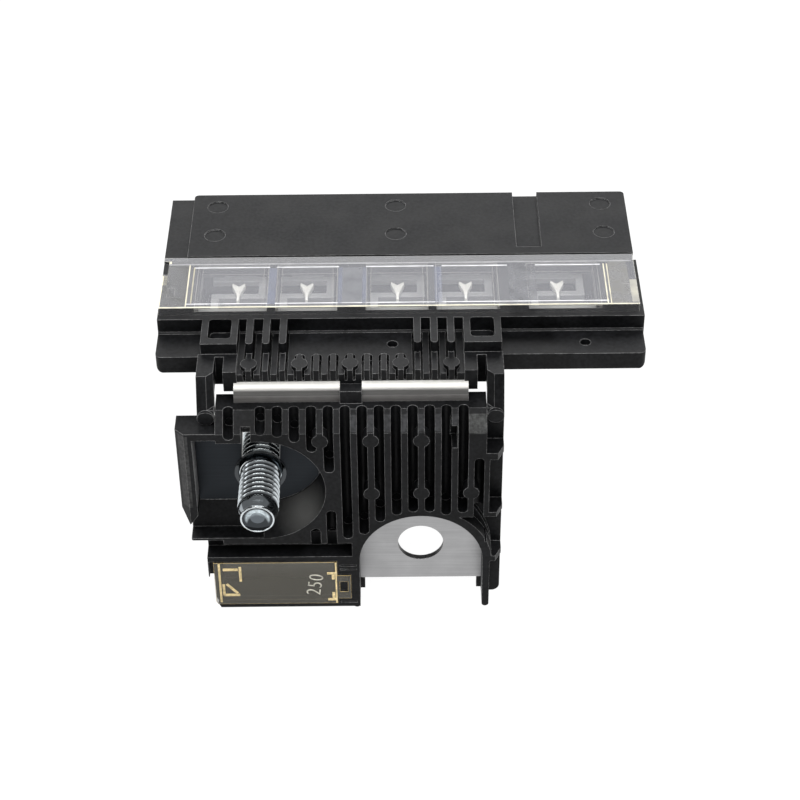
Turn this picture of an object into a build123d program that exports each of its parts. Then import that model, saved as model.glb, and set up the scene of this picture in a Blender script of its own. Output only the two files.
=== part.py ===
from build123d import *
from math import cos, radians, sin, sqrt
import os

os.makedirs("parts", exist_ok=True)

# Battery terminal fuse: a vertical terminal body and a horizontal fuse block on one bent bus bar.
# Millimetres. The origin is the centre of the battery terminal hole, on the front of the plate.
# X runs to the right, Y away from the viewer and Z up, so the terminal plate faces -Y.

# Bus bar sheet and the battery terminal
sheet = 1.2
terminal_bore = 9.1
plate_grip = 1.0
plate_foot = 9.5
plate_corner = 1.5
bend_outer = 2.0
plate_gap = 2.6
band_margin = 1.5

# Terminal body
body_front = 5.5
body_back = 2.6
body_margin = 0.3
body_left = 38.8
body_bottom = 5.2
body_top = 36.7
top_slope = 3.3
shoulder_left = 46.5
shoulder_top = 33.5
shoulder_back = 0.2
shoulder_drop = 2.5
shoulder_chamfer = 1.7
shoulder_knee = 13.8
shoulder_heel = 10.4
shoulder_heel_left = 45.0
shoulder_low = 6.3
shoulder_low_right = 36.0
web_left = 42.3

# Arch round the battery terminal
arch_radius = 12.2
arch_rim = 1.75
arch_foot = 12.4
leg_width = 1.4
foot_reach = 0.9
crescent_left = 7.6
crescent_angles = (48.6, 29.5, 6.6)
crescent_reach = (1.78, 0.69, 0.04)
crescent_floor = 2.4

# Cooling ribs of the terminal body
rib_pitch = 3.2
slot_width = 1.95
slot_floor = 1.2
first_slot = -36.3
second_slot = -30.3
slot_count = 13
stud_ring = 14.05
slot_ring = 1.2
boss_diameter = 3.1
boss_depth = 2.6
upper_boss_drop = 5.3
boss_spacing = 13.3
short_slot_x = -17.45
short_slot_top = 13.8
corner_slot_x = -20.6
corner_slot_top = 9.1
side_slot_inset = 1.3
side_slot_top = 26.9
notch_from = -33.95
notch_to = -32.15
notch_top = 34.4
gap_from = 5.65
gap_to = 6.95
gap_low = 29.6
gap_high = 34.3

# Stud and its pocket
stud_x = -31.1
stud_z = 19.25
stud_diameter = 8.0
stud_shank_diameter = 8.6
stud_reach = 13.8
stud_dog_diameter = 6.5
stud_dog_length = 2.0
stud_dish = 0.6
stud_collar_diameter = 10.2
stud_collar_height = 0.3
stud_head_side = 11.0
pocket_x = -30.8
pocket_z = 19.1
pocket_radius = 12.45
ramp_radius = 12.4
ramp_rise = 5.1
channel_left = 43.3
channel_top = 31.9
channel_step = 31.2
channel_floor_low = 12.3
channel_ledge = 6.85
ledge_back = 1.95
channel_corner = 12.9

# Stud plate and the main link
stud_plate_left = 44.2
stud_plate_right = 19.8
stud_plate_low = 7.6
stud_plate_high = 29.4
stud_leg_left = 40.6
stud_leg_right = 35.0
main_link_low = -9.4
main_link_high = -1.2
main_neck_left = 33.1
main_neck_right = 26.9
main_neck_step = 0.3

# Main link block and its cover
link_block_left = 42.1
link_block_side = 41.2
link_block_top = 1.6
link_block_shoulder = 1.3
link_block_step = 0.2
link_block_corner = -10.2
link_block_corner_left = 40.3
link_block_bottom = -12.2
link_block_back = 5.0
block_line_places = (-0.9, -1.9, -11.0)
block_line_width = 0.4
block_line_depth = 0.3
block_line_from = 16.1
block_line_to = 12.8
groove_depth = 3.6
main_window_left = 39.7
main_window_margin = 0.7
main_window_low = -9.9
main_window_high = -0.7
main_cover_inset = 4.5
main_cover_low = -11.0
main_cover_high = 0.3
main_cover_thickness = 1.2
main_cover_rebate = 0.9
tongue_reach = 2.7
tongue_low = -9.7
tongue_high = -3.4
catch_low = -7.7
catch_high = -5.2
cover_clearance = 0.12

# Side wall on the right of the terminal body, with three cross ribs
side_bar_inset = 0.1
side_bar_width = 1.1
side_rib_length = 2.7
side_floor = 1.0
side_ribs = ((26.5, 28.1), (11.9, 13.0), (0.0, 1.35))
side_rib_chamfer = 1.2
side_foot_round = 1.6

# Hinge strips between the two halves
strip_left_from = -35.3
strip_left_to = -15.2
strip_right_from = -11.05
strip_right_to = 9.1
hinge_top = 40.0
web_clearance = 0.25
web_top = 39.6

# Fuse block
slab_bottom = 38.0
slab_top = 41.7
ledge_top = 45.0
deck_top = 46.8
block_left = -50.5
block_right = 43.2
flange_front = 7.7
middle_front = 2.1
middle_left = -37.0
middle_right = 10.9
chamber_front = 15.2
chamber_left = block_left
chamber_right = 43.4
deck_front = 33.6
deck_back = 55.4
deck_left = -45.8
deck_right = 42.7
deck_step = 1.2
deck_corner = 0.9
socket_bottom = 32.0
flange_corner = 1.2

# Combs and locks on the front of the fuse block
groove_count = 13
groove_width = 2.0
groove_rib = 1.1
groove_floor = 1.5
groove_back = 8.3
groove_middle = -13.25
rib_back = 7.2
corner_fillet = 0.35
finger_front = 7.4
finger_width = 1.35
fingers_per_side = 3
boss_row = 4.4
boss_every = 3
frame_left_outer = -41.7
frame_left_inner = -34.7
frame_right_inner = 8.4
frame_right_outer = 15.6
frame_front = 7.4
frame_bar = 1.75
frame_wall = 1.3
frame_low = 36.0
frame_round = 0.8
foot_top = 42.6
foot_front = 1.8
slot_back_row = 6.5
arm_left_outer = -42.2
arm_left_inner = -39.0
arm_right_inner = 12.6
arm_right_outer = 15.8
arm_slot = 1.75
arm_front = 0.6
arm_lean = 3.6
arm_thick = 3.2
arm_end_gap = 0.2
arm_round = 1.5
arm_cut = 1.3
pin_hole = 2.1
pin_hole_left = -5.2
pin_hole_right = 31.8
pin_hole_row = 11.2

# Fuse links, output blades and sockets
link_x = (-35.8, -22.2, -4.15, 9.4, 27.65)
rail_front = 16.0
rail_back = 25.4
rail_left = -44.0
rail_right = 35.0
link_half = 5.4
link_band = 1.5
link_low_bar = 29.4
link_high_bar = 35.1
blade_width = 6.3
blade_reach = 50.0
tin_width = 2.8
tin_length = 5.4
tin_height = 1.3
chamber_rear = 36.2
chamber_ceiling = 44.6
socket_floor = 37.4
socket_wall = 2.0
socket_spans = ((-43.8, -14.0), (-11.2, 17.6), (22.6, 40.7))
chamber_spans = ((-43.5, -29.5), (-27.8, -15.9), (-10.3, 1.8), (3.4, 15.6), (21.3, 35.4))
recess_from = 19.7
recess_to = 24.7
recess_front = 35.9
recess_depth = 1.0
mark_diameter = 4.2
mark_depth = 0.25
mark_columns = (-40.8, -4.4, 37.5)
mark_rows = (40.9, 51.0)

# Clear cover of the fuse links and the closing plate below them
cover_front = 16.5
cover_wall = 1.2
cover_left = -50.3
cover_right = 42.5
cover_lip = 1.4
cover_lip_wall = 0.8
cover_back = 33.1
lock_width = 3.0
lock_thick = 1.3
lock_reach = 3.0
lock_row = 24.0
hook_notch = 1.1
hook_front = 27.5
hook_back = 31.9
hook_top = 46.2
base_thickness = 1.4
base_margin = 1.6

# Derived places
main_cover_corner = link_block_side - (link_block_side - link_block_corner_left) * (
    link_block_corner - main_cover_low
) / (link_block_corner - link_block_bottom)
hinge_under = hinge_top - sheet
plate_half_width = arch_radius + plate_grip
body_right = arch_radius + body_margin
side_slot_x = body_right - side_slot_inset
side_bar_left = arch_radius - side_bar_inset
side_bar_right = side_bar_left + side_bar_width
side_right = side_bar_right + side_rib_length
main_cover_right = arch_radius + main_cover_inset
main_window_right = main_cover_right + main_window_margin
arch_outer = arch_radius + arch_rim
arch_ring = arch_radius + slot_ring
crescent_points = [
    ((arch_outer + reach) * cos(radians(angle)), (arch_outer + reach) * sin(radians(angle)))
    for angle, reach in zip(crescent_angles, crescent_reach)
]
crescent_top = crescent_points[0][1]
upper_boss_height = body_top - upper_boss_drop
lower_boss_height = upper_boss_height - boss_spacing
band_top = body_top - band_margin
stud_head_height = body_back - sheet
slot_back = -slot_floor - slot_width / 2
groove_pitch = rib_pitch
first_groove = groove_middle - groove_pitch * (groove_count - 1) / 2
finger_columns = [first_groove + groove_pitch * k for k in range(fingers_per_side)]
finger_columns += [first_groove + groove_pitch * (groove_count - 1 - k) for k in range(fingers_per_side)]
boss_columns = [first_groove + groove_pitch * k for k in range(0, groove_count, boss_every)]
chamber_open = cover_front + cover_wall
lock_left = cover_left + lock_thick / 2 + cover_wall
lock_right = cover_right - lock_thick / 2 - cover_wall
base_left = chamber_spans[0][0] - base_margin
base_right = chamber_spans[-1][1] + base_margin
base_front = chamber_open - base_margin / 2
base_back = chamber_rear + base_margin / 2
arm_end = shoulder_top + arm_end_gap


# One stamped sheet: plate, stud plate, main link, hinge strips, rail, links and blades
with BuildPart() as bus_bar:
    with BuildSketch(Plane.XZ) as plate_outline:
        with Locations((0, (band_top - plate_foot) / 2)):
            RectangleRounded(2 * plate_half_width, band_top + plate_foot, plate_corner)
        with Locations((strip_left_from, band_top)):
            Rectangle(
                strip_right_to - strip_left_from,
                band_top - stud_plate_high - plate_gap,
                align=(Align.MIN, Align.MAX),
            )
        with Locations((-stud_plate_left, stud_plate_low)):
            Rectangle(
                stud_plate_left - stud_plate_right,
                stud_plate_high - stud_plate_low,
                align=(Align.MIN, Align.MIN),
            )
        with Locations((-stud_leg_left, main_link_low)):
            Rectangle(
                stud_leg_left - stud_leg_right,
                stud_plate_low - main_link_low + plate_corner,
                align=(Align.MIN, Align.MIN),
            )
        with Locations((-stud_leg_left, main_link_low)):
            Rectangle(
                stud_leg_left - plate_half_width + plate_corner,
                main_link_high - main_link_low,
                align=(Align.MIN, Align.MIN),
            )
        Circle(terminal_bore / 2, mode=Mode.SUBTRACT)
        with Locations((stud_x, stud_z)):
            Circle(stud_shank_diameter / 2, mode=Mode.SUBTRACT)
    extrude(amount=-sheet)
    # The main link is coined thinner where it is meant to melt
    for face_place in (0, -sheet + main_neck_step):
        with BuildSketch(Plane.XZ.offset(face_place)):
            with Locations((-main_neck_left, main_link_low)):
                Rectangle(
                    main_neck_left - main_neck_right,
                    main_link_high - main_link_low,
                    align=(Align.MIN, Align.MIN),
                )
        extrude(amount=-main_neck_step, mode=Mode.SUBTRACT)
    # Both hinge strips run up from the plate and bend back into the fuse block
    for strip_from, strip_to in ((strip_left_from, strip_left_to), (strip_right_from, strip_right_to)):
        with BuildSketch(Plane.YZ.offset(strip_from)):
            with Locations((0, band_top)):
                Rectangle(sheet, hinge_top - band_top, align=(Align.MIN, Align.MIN))
            with Locations((0, hinge_top)):
                Rectangle(rail_front, sheet, align=(Align.MIN, Align.MAX))
            with BuildLine():
                Polyline((0, hinge_top), (bend_outer, hinge_top), (0, hinge_top - bend_outer), close=True)
            make_face(mode=Mode.SUBTRACT)
            with Locations((bend_outer, hinge_top - bend_outer)):
                Circle(bend_outer)
                Circle(bend_outer - sheet, mode=Mode.SUBTRACT)
        extrude(amount=strip_to - strip_from)
    with BuildSketch(Plane.XY.offset(hinge_under)):
        with Locations((rail_left, rail_front)):
            Rectangle(rail_right - rail_left, rail_back - rail_front, align=(Align.MIN, Align.MIN))
        for x in link_x:
            # A foot on the left, the low bar, a riser on the right and the high bar
            with Locations((x - link_half, rail_back)):
                Rectangle(link_band, link_low_bar - rail_back, align=(Align.MIN, Align.MIN))
            with Locations((x, link_low_bar)):
                Rectangle(2 * link_half, link_band)
            with Locations((x + link_half, link_low_bar)):
                Rectangle(link_band, link_high_bar - link_low_bar, align=(Align.MAX, Align.MIN))
            with Locations((x, link_high_bar)):
                Rectangle(2 * link_half, link_band)
            with Locations((x, link_high_bar)):
                Rectangle(blade_width, blade_reach - link_high_bar, align=(Align.CENTER, Align.MIN))
    extrude(amount=sheet)
bus_bar.part.label = "bus_bar"


# The stud is pressed through its plate from behind
with BuildPart() as terminal_stud:
    with BuildSketch(Plane.XZ):
        with Locations((stud_x, stud_z)):
            Circle(stud_collar_diameter / 2)
    extrude(amount=stud_collar_height)
    with BuildSketch(Plane.XZ.offset(-sheet)):
        with Locations((stud_x, stud_z)):
            Circle(stud_shank_diameter / 2)
    extrude(amount=sheet)
    with BuildSketch(Plane.XZ):
        with Locations((stud_x, stud_z)):
            Circle(stud_diameter / 2)
    extrude(amount=stud_reach - stud_dog_length)
    chamfer(
        terminal_stud.faces().sort_by(Axis.Y)[0].outer_wire().edges(),
        length=(stud_diameter - stud_dog_diameter) / 2,
    )
    with BuildSketch(Plane.XZ.offset(stud_reach - stud_dog_length)):
        with Locations((stud_x, stud_z)):
            Circle(stud_dog_diameter / 2)
    extrude(amount=stud_dog_length)
    with BuildSketch(Plane.XZ.offset(stud_reach - stud_dish)):
        with Locations((stud_x, stud_z)):
            Circle(stud_dog_diameter / 2 - stud_dish)
    extrude(amount=stud_dish, mode=Mode.SUBTRACT)
    with BuildSketch(Plane.XZ.offset(-sheet)):
        with Locations((stud_x, stud_z)):
            RectangleRounded(stud_head_side, stud_head_side, plate_corner)
    extrude(amount=-stud_head_height)
terminal_stud.part.label = "terminal_stud"


# Room round the stud: a round pocket with a leaning lower wall
with BuildPart() as pocket_cut:
    with BuildSketch(Plane.XZ.offset(body_front)):
        with Locations((pocket_x, pocket_z)):
            Circle(pocket_radius)
    with BuildSketch(Plane.XZ):
        with Locations((pocket_x, pocket_z + ramp_rise)):
            Circle(ramp_radius)
    loft()
    with BuildSketch(Plane.XZ.offset(body_front)):
        with Locations((pocket_x, pocket_z)):
            Circle(pocket_radius)
    extrude(amount=-body_front, mode=Mode.INTERSECT)


# Channel from the pocket out to the left, with a ledge along its foot
with BuildPart() as channel_cut:
    with BuildSketch(Plane.YZ.offset(-shoulder_left)):
        with BuildLine():
            Polyline(
                (0, channel_floor_low),
                (-ledge_back, channel_ledge),
                (-body_front, channel_ledge),
                (-body_front, channel_top),
                (0, channel_top),
                close=True,
            )
        make_face()
    extrude(amount=shoulder_left + pocket_x)
    with BuildSketch(Plane.XZ):
        with BuildLine():
            Polyline(
                (pocket_x, channel_ledge),
                (-shoulder_left, channel_ledge),
                (-shoulder_left, shoulder_heel),
                (-shoulder_heel_left, shoulder_heel),
                (-channel_left, channel_corner),
                (-channel_left, channel_top),
                (-body_left, channel_top),
                (-body_left, channel_step),
                (pocket_x, channel_step),
                close=True,
            )
        make_face()
    extrude(amount=body_front, mode=Mode.INTERSECT)


# Moulded terminal body with its ribs, stud pocket, arch and main link block
with BuildPart() as terminal_housing:
    with BuildSketch(Plane.YZ.offset(-body_left)):
        with BuildLine():
            Polyline(
                (body_back, body_bottom),
                (-body_front, body_bottom),
                (-body_front, body_top - top_slope),
                (-body_front + top_slope, body_top),
                (body_back, body_top),
                close=True,
            )
        make_face()
    extrude(amount=body_left + body_right)
    # The left end hangs a little higher than the rest
    with BuildSketch(Plane.XZ.offset(body_front)):
        with BuildLine():
            Polyline(
                (-body_left, body_bottom),
                (-shoulder_low_right, body_bottom),
                (-shoulder_low_right - shoulder_low + body_bottom, shoulder_low),
                (-body_left, shoulder_low),
                close=True,
            )
        make_face()
    extrude(amount=-groove_depth, mode=Mode.SUBTRACT)
    with BuildSketch(Plane.XZ.offset(-body_back)):
        with BuildLine():
            Polyline(
                (-body_left, shoulder_low),
                (-shoulder_heel_left, shoulder_low),
                (-shoulder_heel_left, shoulder_heel),
                (-shoulder_left, shoulder_knee),
                (-shoulder_left, shoulder_top),
                (-body_left, shoulder_top),
                close=True,
            )
        make_face()
    extrude(amount=body_back + body_front)
    with BuildSketch(Plane.XY.offset(shoulder_low)):
        with BuildLine():
            Polyline(
                (-shoulder_left, -body_front),
                (-shoulder_left + shoulder_chamfer, -body_front),
                (-shoulder_left, -body_front + shoulder_chamfer),
                close=True,
            )
        make_face()
    extrude(amount=shoulder_top - shoulder_low, mode=Mode.SUBTRACT)
    with BuildSketch(Plane.YZ.offset(-shoulder_left)):
        with Locations((shoulder_back, shoulder_top)):
            Rectangle(body_back - shoulder_back, shoulder_drop, align=(Align.MIN, Align.MAX))
    extrude(amount=shoulder_left - body_left, mode=Mode.SUBTRACT)
    # Thin side wall on the right, with a bar and three cross ribs in front of it
    with BuildSketch(Plane.XZ.offset(-body_back)):
        with Locations((side_bar_left, -arch_foot)):
            Rectangle(side_right - side_bar_left, shoulder_top + arch_foot, align=(Align.MIN, Align.MIN))
        with Locations((side_right - side_foot_round, -arch_foot + side_foot_round)):
            Rectangle(2 * side_foot_round, 2 * side_foot_round, align=(Align.MIN, Align.MAX), mode=Mode.SUBTRACT)
            Circle(side_foot_round)
    extrude(amount=body_back + side_floor)
    with BuildSketch(Plane.XZ.offset(side_floor)):
        with Locations((side_bar_left, side_ribs[1][0])):
            Rectangle(
                side_bar_right - side_bar_left,
                side_ribs[0][1] - side_ribs[1][0],
                align=(Align.MIN, Align.MIN),
            )
    extrude(amount=body_front - side_floor)
    for rib_low, rib_high in side_ribs:
        with BuildSketch(Plane.XY.offset(rib_low)):
            with BuildLine():
                Polyline(
                    (side_bar_right, -side_floor),
                    (side_bar_right, -body_front),
                    (side_right - side_rib_chamfer, -body_front),
                    (side_right, -body_front + 2 * side_rib_chamfer),
                    (side_right, -side_floor),
                    close=True,
                )
            make_face()
        extrude(amount=rib_high - rib_low)
    # Arch with its legs, and the body between the arch and the main link block
    with BuildSketch(Plane.XZ.offset(-body_back)):
        with Locations((0, 0)):
            Rectangle(2 * arch_outer, body_bottom, align=(Align.CENTER, Align.MIN))
        for side in (-1, 1):
            with Locations((side * (arch_radius + leg_width / 2), 0)):
                Rectangle(leg_width, arch_foot - leg_width / 2, align=(Align.CENTER, Align.MAX))
            with Locations((side * (arch_radius + leg_width / 2), -arch_foot + leg_width / 2)):
                Circle(leg_width / 2)
        with Locations((-web_left, -groove_depth)):
            Rectangle(web_left - arch_radius, shoulder_low + groove_depth, align=(Align.MIN, Align.MIN))
    extrude(amount=body_back + body_front)
    with BuildSketch(Plane.XZ.offset(-link_block_back)):
        with BuildLine():
            Polyline(
                (-link_block_left, link_block_top),
                (-link_block_left, link_block_shoulder),
                (-link_block_side, link_block_step),
                (-link_block_side, link_block_corner),
                (-link_block_corner_left, link_block_bottom),
                (-arch_radius, link_block_bottom),
                (-arch_radius, link_block_top),
                close=True,
            )
        make_face()
    extrude(amount=link_block_back + body_front)
    # Groove between the body and the main link block
    with BuildSketch(Plane.XZ.offset(body_front)):
        with Locations((-web_left, link_block_top)):
            Rectangle(
                web_left - arch_radius - leg_width,
                body_bottom - link_block_top,
                align=(Align.MIN, Align.MIN),
            )
        with Locations((-web_left, body_bottom)):
            Rectangle(web_left - body_left, shoulder_low - body_bottom, align=(Align.MIN, Align.MIN))
    extrude(amount=-groove_depth, mode=Mode.SUBTRACT)
    # Arch opening, through to the plate in front and clear behind it
    with BuildSketch(Plane.XZ.offset(body_front)):
        Circle(arch_radius)
        with Locations((0, 0)):
            Rectangle(2 * arch_radius, 2 * arch_foot, align=(Align.CENTER, Align.MAX))
    extrude(amount=-(body_front + body_back), mode=Mode.SUBTRACT)
    # Recess to the right of the arch, with a raised crescent floor
    with BuildSketch(Plane.XZ.offset(body_front)):
        with Locations((crescent_left, side_ribs[2][1])):
            Rectangle(
                side_right - crescent_left,
                crescent_top - side_ribs[2][1],
                align=(Align.MIN, Align.MIN),
            )
        Circle(arch_outer, mode=Mode.SUBTRACT)
    extrude(amount=-(body_front - side_floor), mode=Mode.SUBTRACT)
    with BuildSketch(Plane.XZ.offset(side_floor)):
        with BuildLine():
            Line((crescent_left, crescent_top), crescent_points[0])
            ThreePointArc(*crescent_points)
            Line(crescent_points[2], (crescent_left, crescent_top))
        make_face()
        Circle(arch_outer, mode=Mode.SUBTRACT)
    extrude(amount=crescent_floor - side_floor)
    # Stud pocket and its channel
    add(pocket_cut.part, mode=Mode.SUBTRACT)
    add(channel_cut.part, mode=Mode.SUBTRACT)
    # Cooling slots with round floors and round ends, stopped short of the pocket and of the arch
    slot_columns = [first_slot] + [second_slot + rib_pitch * k for k in range(slot_count)]
    slot_runs = []
    for x in slot_columns:
        to_stud = stud_ring ** 2 - (x - pocket_x) ** 2
        to_arch = arch_ring ** 2 - x ** 2
        if to_stud > 0:
            low = pocket_z + sqrt(to_stud)
        elif x > crescent_left:
            low = crescent_top + slot_ring
        elif to_arch > 0:
            low = sqrt(to_arch)
        else:
            low = body_bottom + slot_ring
        slot_runs.append((x, low, low + slot_width / 2, body_top))
    for x, high in ((short_slot_x, short_slot_top), (corner_slot_x, corner_slot_top)):
        slot_runs.append((x, high - slot_width, body_bottom, high - slot_width / 2))
    slot_runs.append((side_slot_x, side_slot_top - slot_width, crescent_top, side_slot_top - slot_width / 2))
    for x, round_low, low, high in slot_runs:
        with BuildSketch(Plane.XY.offset(low)):
            with Locations((x, -body_front)):
                Rectangle(slot_width, body_front + slot_back, align=(Align.CENTER, Align.MIN))
            with Locations((x, slot_back)):
                Circle(slot_width / 2)
        extrude(amount=high - low, mode=Mode.SUBTRACT)
        with BuildSketch(Plane.XZ.offset(body_front)):
            with Locations((x, round_low + slot_width / 2)):
                Circle(slot_width / 2)
        extrude(amount=-(body_front - slot_floor), mode=Mode.SUBTRACT)
    # One notch above the stud, and one gap in a rib on the right
    with BuildSketch(Plane.XZ.offset(body_front)):
        with Locations((notch_from, pocket_z)):
            Rectangle(notch_to - notch_from, notch_top - pocket_z, align=(Align.MIN, Align.MIN))
        with Locations((gap_from, gap_low)):
            Rectangle(gap_to - gap_from, gap_high - gap_low, align=(Align.MIN, Align.MIN))
    extrude(amount=-(body_front - slot_floor), mode=Mode.SUBTRACT)
    # Round ejector bosses bridge the slots
    with BuildSketch(Plane.XZ.offset(body_front)):
        for k in (3, 6, 9):
            with Locations((second_slot + rib_pitch * (k + 0.5), upper_boss_height)):
                Circle(boss_diameter / 2)
        for k in (6, 9, 12):
            with Locations((second_slot + rib_pitch * (k + 0.5), lower_boss_height)):
                Circle(boss_diameter / 2)
    extrude(amount=-boss_depth)
    # Feet under the plate, inside the legs of the arch
    for side in (-1, 1):
        with BuildSketch(Plane.XZ.offset(-sheet)):
            with Locations((side * arch_radius, -arch_foot)):
                Rectangle(2 * foot_reach, arch_foot - plate_foot, align=(Align.CENTER, Align.MIN))
        extrude(amount=sheet)
    # Window of the main link, through the block, with a rebate for each cover
    with BuildSketch(Plane.XZ.offset(body_front)):
        with Locations((-main_window_left, main_window_low)):
            Rectangle(
                main_window_left - main_window_right,
                main_window_high - main_window_low,
                align=(Align.MIN, Align.MIN),
            )
    extrude(amount=-(body_front + link_block_back), mode=Mode.SUBTRACT)
    for face_place in (body_front, -link_block_back + main_cover_rebate):
        with BuildSketch(Plane.XZ.offset(face_place)):
            with Locations((-link_block_left, main_cover_low - cover_clearance)):
                Rectangle(
                    link_block_left - main_cover_right + cover_clearance,
                    main_cover_high - main_cover_low + 2 * cover_clearance,
                    align=(Align.MIN, Align.MIN),
                )
        extrude(amount=-main_cover_rebate, mode=Mode.SUBTRACT)
    # Recess for the cover's tongue, round the catch that holds it
    with BuildSketch(Plane.XZ.offset(body_front)):
        with Locations((-main_cover_right, tongue_low - cover_clearance)):
            Rectangle(
                tongue_reach + cover_clearance,
                tongue_high - tongue_low + 2 * cover_clearance,
                align=(Align.MIN, Align.MIN),
            )
        with Locations((-main_cover_right + cover_wall / 2, catch_low)):
            Rectangle(
                tongue_reach - cover_wall - cover_clearance,
                catch_high - catch_low,
                align=(Align.MIN, Align.MIN),
                mode=Mode.SUBTRACT,
            )
    extrude(amount=-main_cover_rebate, mode=Mode.SUBTRACT)
    # Three shallow lines across the block beside the arch
    with BuildSketch(Plane.XZ.offset(body_front)):
        for line_place in block_line_places:
            with Locations((-block_line_from, line_place)):
                Rectangle(block_line_from - block_line_to, block_line_width, align=(Align.MIN, Align.CENTER))
    extrude(amount=-block_line_depth, mode=Mode.SUBTRACT)
    # Web that stands up between the hinge strips
    with BuildSketch(Plane.XY.offset(body_top)):
        with Locations((strip_left_to, -sheet / 2)):
            Rectangle(
                strip_right_from - strip_left_to,
                middle_front - web_clearance + sheet / 2,
                align=(Align.MIN, Align.MIN),
            )
    extrude(amount=web_top - body_top)
    # The metal is moulded in
    add(bus_bar.part, mode=Mode.SUBTRACT)
    add(terminal_stud.part, mode=Mode.SUBTRACT)
terminal_housing.part.label = "terminal_housing"


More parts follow.
